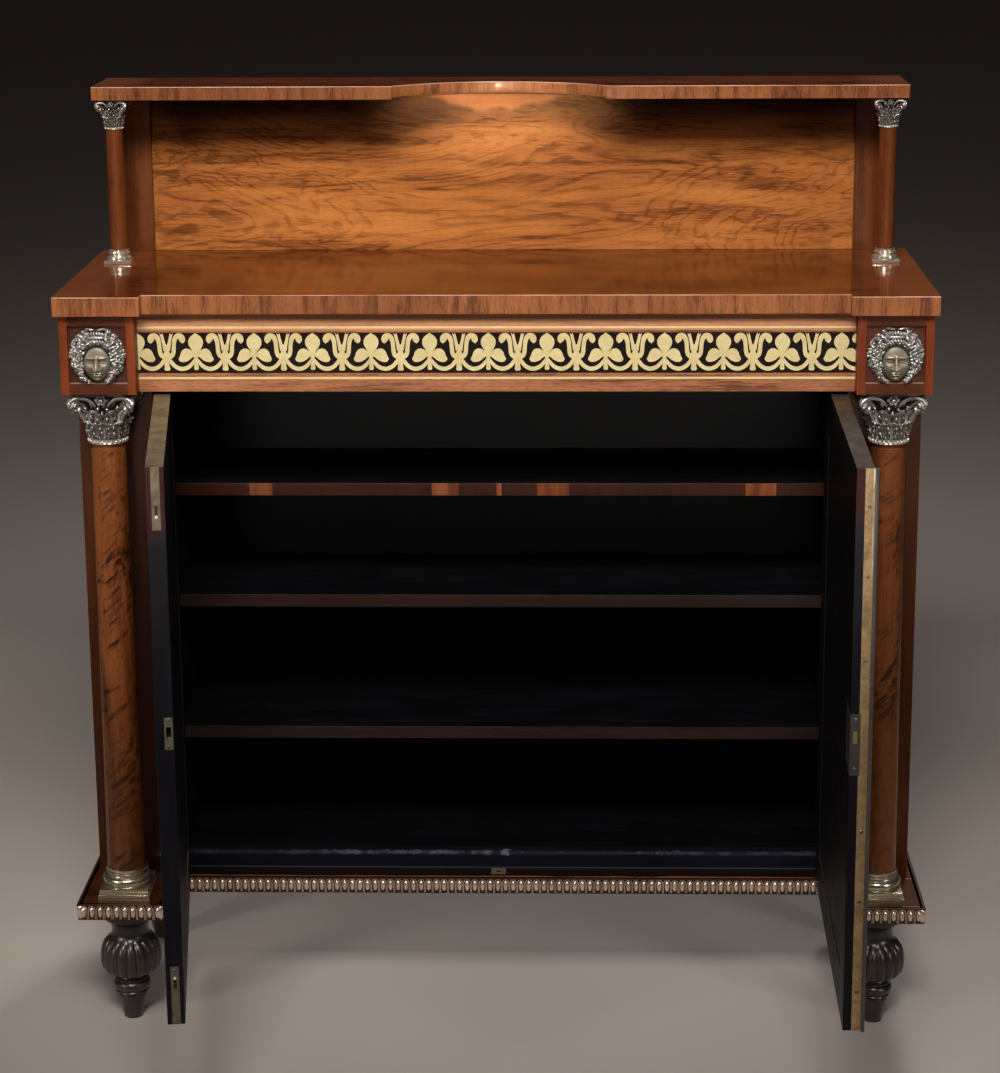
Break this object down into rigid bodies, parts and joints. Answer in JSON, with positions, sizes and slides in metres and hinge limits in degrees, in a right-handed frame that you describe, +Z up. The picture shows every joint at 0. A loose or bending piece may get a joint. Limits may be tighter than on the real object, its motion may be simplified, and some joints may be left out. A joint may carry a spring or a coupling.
{
  "type": "chiffonier",
  "caption": "Low two-door chiffonier with loose shelves, free-standing front columns, brass-lined frieze, beaded platform on turned feet and a raised gallery shelf.",
  "frame": {"origin": "on the floor, on the centre line, in the plane of the frieze blocks' fronts, which is the middle of the box front to back with the doors open", "axes": "+X to the right, +Y to the back, +Z up"},
  "size_m": [1.138, 0.7117, 1.2546],
  "materials": {
    "rosewood": "french polished",
    "brass": "aged, lightly polished",
    "cast_brass": "cast and chased, silvery antique",
    "bronze_bead": "dark bronzed with rubbed tops",
    "ebonised": "ebonised and waxed",
    "black_lining": "black stain, dull"
  },
  "bodies": {
    "case": {"back_boards": "black_lining", "beaded_edge": "bronze_bead", "bolt_keepers": "brass", "bottom_board": "black_lining", "bottom_rail": "ebonised", "dust_board": "black_lining", "frieze_brass_lines": "brass", "frieze_ground": "ebonised", "frieze_rail": "rosewood", "front_left_foot": "ebonised", "front_right_foot": "ebonised", "gallery_back_panel": "rosewood", "gallery_column_mounts": "cast_brass", "gallery_pilasters": "rosewood", "gallery_shelf": "rosewood", "header_rail": "black_lining", "hinge_frame_leaves": "brass", "left_column_base": "brass", "left_column_capital": "cast_brass", "left_column_shaft": "rosewood", "left_frieze_block": "rosewood", "left_front_stile": "rosewood", "left_gallery_column": "rosewood", "left_inner_cheek": "black_lining", "left_platform_block": "rosewood", "left_side_panel": "rosewood", "lower_shelf": "black_lining", "main_top": "rosewood", "mask_mounts": "cast_brass", "middle_shelf": "black_lining", "platform_board": "rosewood", "rear_left_foot": "ebonised", "rear_right_foot": "ebonised", "right_column_base": "brass", "right_column_capital": "cast_brass", "right_column_shaft": "rosewood", "right_frieze_block": "rosewood", "right_front_stile": "rosewood", "right_gallery_column": "rosewood", "right_inner_cheek": "black_lining", "right_platform_block": "rosewood", "right_side_panel": "rosewood", "shelf_pegs": "black_lining", "upper_shelf": "black_lining"},
    "left_door": {"left_door_frame": "rosewood", "left_door_panel": "rosewood", "left_door_moulding": "brass", "left_hinge_door_leaves": "brass", "left_edge_plates": "brass"},
    "right_door": {"right_door_frame": "rosewood", "right_door_panel": "rosewood", "right_door_moulding": "brass", "right_hinge_door_leaves": "brass", "lock_case": "brass", "keyhole_escutcheon": "brass", "cover_strip": "brass"},
    "top_bolt": {"top_flush_bolt": "brass"},
    "bottom_bolt": {"bottom_flush_bolt": "brass"},
    "lock_bolt_body": {"lock_bolt": "brass"}
  },
  "joints": [
    {"name": "left_door_hinge", "type": "hinge", "parent": "case", "child": "left_door", "pos_m": [-0.45635, 0.1025, 0.5335], "axis": [0, 0, -1], "range_deg": [-82.2, 12]},
    {"name": "right_door_hinge", "type": "hinge", "parent": "case", "child": "right_door", "pos_m": [0.45635, 0.1025, 0.5335], "axis": [0, 0, 1], "range_deg": [-89, 5]},
    {"name": "top_bolt_slide", "type": "slide", "parent": "left_door", "child": "top_bolt", "axis": [0, 0, 1], "range_m": [0, 0.012]},
    {"name": "bottom_bolt_slide", "type": "slide", "parent": "left_door", "child": "bottom_bolt", "axis": [0, 0, -1], "range_m": [0, 0.012]},
    {"name": "lock_bolt_slide", "type": "slide", "parent": "right_door", "child": "lock_bolt_body", "axis": [-0.0175, -0.9998, 0], "range_m": [0, 0.008]}
  ]
}
